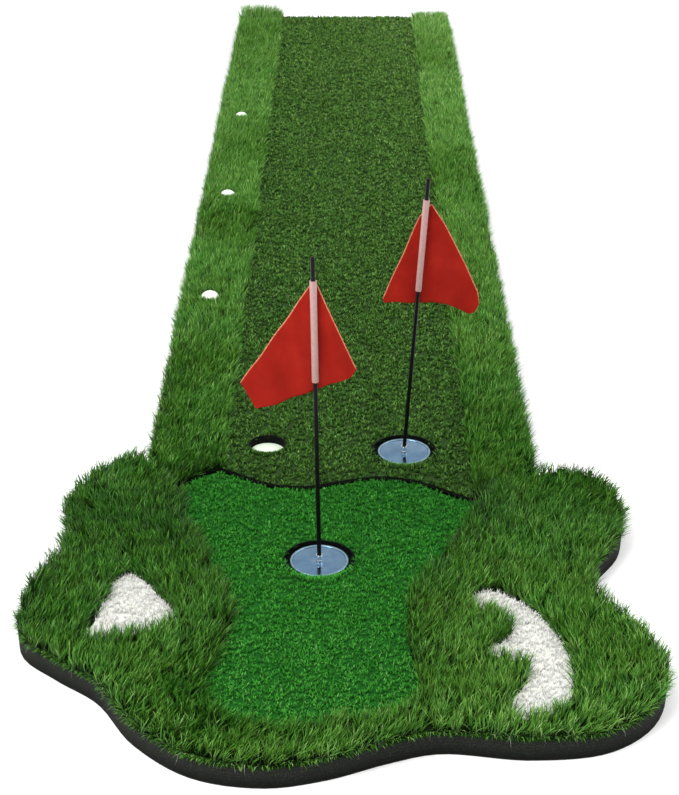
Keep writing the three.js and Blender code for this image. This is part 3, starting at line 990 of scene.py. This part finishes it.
def add_sleeve(flag, plastic):
    """The plastic tube on the pole that carries the pennant."""
    x, y, _ = node_middle(f"{flag}_flag_base")
    inner, outer = SLEEVE_RADII
    low, high = SLEEVE_SPAN[0] - PIVOT, SLEEVE_SPAN[1] - PIVOT
    profile = eased([(inner, low), (outer, low), (outer, high), (inner, high)], 0.5)
    pivot = (x, y, PIVOT * MM)
    sleeve = turned(f"{flag}_sleeve", profile, pivot, plastic, f"{flag}_pennant", stick_turn(flag))
    hand_over(sleeve, f"{flag}_flag_sleeve")
    return sleeve


def line_height(line, across):
    xs, zs = zip(*line, strict=True)
    return float(np.interp(across, xs, zs))


CLOTH_COLUMNS = 72
CLOTH_ROWS = 56
CLOTH_FRONT = 6.1  # from the stick's middle to the cloth's middle, mm
CLOTH_SWEEP = 14.0  # how far the corners sweep back, mm
CLOTH_FRAMES = 36
CLOTH_THICKNESS = 0.45
STICK_HOLD = 8  # the cloth this close to the stick is held fast, mm
CORNER_HOLD = 6  # and this close to its side corners it is held firmly, mm
HEM_WIDTH = 1.5 * MM
HEM_HALF = 0.42 * MM  # half its thickness
# the binding's section: share of its width down from the edge, and share of HEM_HALF to each side
HEM_SECTION = ((-0.2, 0.0), (0.1, 0.8), (0.5, 1.0), (1.0, 0.9), (1.0, -0.9), (0.5, -1.0), (0.1, -0.8))


def pennant_grid(flag):
    """Grid of cloth points, column by column from the foot up, and how firmly each one is held."""
    top, bottom = PENNANT_TOP[flag], PENNANT_BOTTOM[flag]
    left, right = bottom[0][0], bottom[-1][0]
    reach = max(-left, right)
    x, y, _ = node_middle(f"{flag}_flag_base")
    turn = stick_turn(flag)
    points, pins = [], []
    for i in range(CLOTH_COLUMNS + 1):
        across = left + (right - left) * i / CLOTH_COLUMNS
        low, high = line_height(bottom, across), line_height(top, across)
        for k in range(CLOTH_ROWS + 1):
            up = low + (high - low) * k / CLOTH_ROWS
            ripple = 2.8 * math.sin(across / 9 + up / 37) * min(1, abs(across) / 25)
            back = CLOTH_FRONT + CLOTH_SWEEP * (across / reach) ** 2 + ripple
            local = Vector((across, back, up + SLEEVE_SPAN[0] - PIVOT)) * MM
            points.append(turn @ local + Vector((x, y, PIVOT * MM)))
            if abs(across) < STICK_HOLD:
                pins.append(1.0)
            elif min(across - left, right - across) < CORNER_HOLD:
                pins.append(0.85)
            elif k == CLOTH_ROWS:
                pins.append(0.25)
            else:
                pins.append(0.0)
    return points, pins


def settle(cut, pins):
    """The cut cloth's mesh once it has hung from the stick for a while."""
    group = cut.vertex_groups.new(name="held")
    for i, weight in enumerate(pins):
        if weight > 0:
            group.add([i], weight, "REPLACE")
    modifier = cut.modifiers.new("cloth", "CLOTH")
    settings = modifier.settings
    settings.quality = 8
    settings.mass = 0.12
    settings.tension_stiffness = 30
    settings.compression_stiffness = 30
    settings.shear_stiffness = 12
    settings.bending_stiffness = 0.6
    settings.shrink_min = -0.03
    settings.vertex_group_mass = "held"
    settings.pin_stiffness = 1.0
    modifier.collision_settings.use_collision = False
    modifier.point_cache.frame_end = CLOTH_FRAMES
    scene = bpy.context.scene
    for step in range(1, CLOTH_FRAMES + 1):
        scene.frame_set(step)
    depsgraph = bpy.context.evaluated_depsgraph_get()
    settled = bpy.data.meshes.new_from_object(cut.evaluated_get(depsgraph))
    scene.frame_set(1)
    return settled


def add_pennant(flag, weave, binding):
    points, pins = pennant_grid(flag)
    rows = CLOTH_ROWS + 1
    faces = []
    for i in range(CLOTH_COLUMNS):
        for k in range(CLOTH_ROWS):
            a = i * rows + k
            faces.append((a, a + rows, a + rows + 1, a + 1))
    mesh = bpy.data.meshes.new(f"{flag}_cloth_cut")
    mesh.from_pydata(points, [], faces)
    mesh.update()
    cut = bpy.data.objects.new(f"{flag}_cloth_cut", mesh)
    bpy.context.scene.collection.objects.link(cut)
    settled = settle(cut, pins)
    bpy.data.objects.remove(cut)
    settled.name = f"{flag}_cloth"
    settled.materials.clear()
    settled.materials.append(weave)
    for polygon in settled.polygons:
        polygon.use_smooth = True
    cloth = add_piece(f"{flag}_cloth", settled, f"{flag}_pennant")
    solid = cloth.modifiers.new("thickness", "SOLIDIFY")
    solid.thickness = CLOTH_THICKNESS * MM
    solid.offset = 0
    hand_over(cloth, f"{flag}_flag_cloth")
    hem = add_hem(flag, settled, binding)


def add_hem(flag, settled, material):
    """A narrow stitched binding along the pennant's upper edges, coloured paler than the cloth as a painted
    highlight.
    """
    rows = CLOTH_ROWS + 1
    line = [settled.vertices[i * rows + CLOTH_ROWS].co.copy() for i in range(CLOTH_COLUMNS + 1)]
    inner = [settled.vertices[i * rows + CLOTH_ROWS - 1].co.copy() for i in range(CLOTH_COLUMNS + 1)]
    build = bmesh.new()
    rings = []
    for i, (edge, lower) in enumerate(zip(line, inner, strict=True)):
        along = (line[min(i + 1, CLOTH_COLUMNS)] - line[max(i - 1, 0)]).normalized()
        down = lower - edge
        down = (down - along * down.dot(along)).normalized()
        if down.length < 0.5:
            down = Vector((0, 0, -1))
        out = along.cross(down).normalized()
        ring = []
        for across, side in HEM_SECTION:
            ring.append(build.verts.new(edge + down * (across * HEM_WIDTH) + out * (side * HEM_HALF)))
        rings.append(ring)
    for near, far in zip(rings[:-1], rings[1:], strict=True):
        for k in range(len(near)):
            m = (k + 1) % len(near)
            build.faces.new((near[k], far[k], far[m], near[m]))
    build.faces.new(rings[0])
    build.faces.new(rings[-1][::-1])
    bmesh.ops.recalc_face_normals(build, faces=build.faces)
    mesh = bpy.data.meshes.new(f"{flag}_hem")
    build.to_mesh(mesh)
    build.free()
    for polygon in mesh.polygons:
        polygon.use_smooth = True
    mesh.materials.append(material)
    hem = add_piece(f"{flag}_hem", mesh, f"{flag}_pennant")
    hand_over(hem, f"{flag}_flag_cloth")
    return hem


def hem_material():
    material, shader = new_material("hem_painted_highlight", 0.7, specular=0.3)
    stitch = add_noise(material, 480.0, 2.0)
    # painted highlight: the binding is coloured paler than the cloth to stand in for light along the upper
    # edges
    link(material, add_ramp(material, stitch, [(0.35, srgb(176, 84, 58)), (0.65, srgb(214, 136, 104))]),
         shader.inputs["Base Color"])
    return material


def add_flags():
    disc, rim, chrome = disc_material(), rim_material(), chrome_material()
    paint = moulded_material("pole_paint", srgb(14, 14, 16), srgb(6, 6, 7), 0.35, specular=0.12)
    plastic = moulded_material("sleeve_plastic", srgb(175, 139, 135), srgb(163, 126, 122), 0.34)
    weave, binding = cloth_material(), hem_material()
    for flag in FLAG_NAMES:
        add_foot(flag, disc, rim)
        add_ferrule(flag, chrome)
        add_pole(flag, paint)
        sleeve = add_sleeve(flag, plastic)
        add_pennant(flag, weave, binding)


add_camera()
add_studio()
add_turf()
add_base()
add_holes()
add_balls()
add_flags()
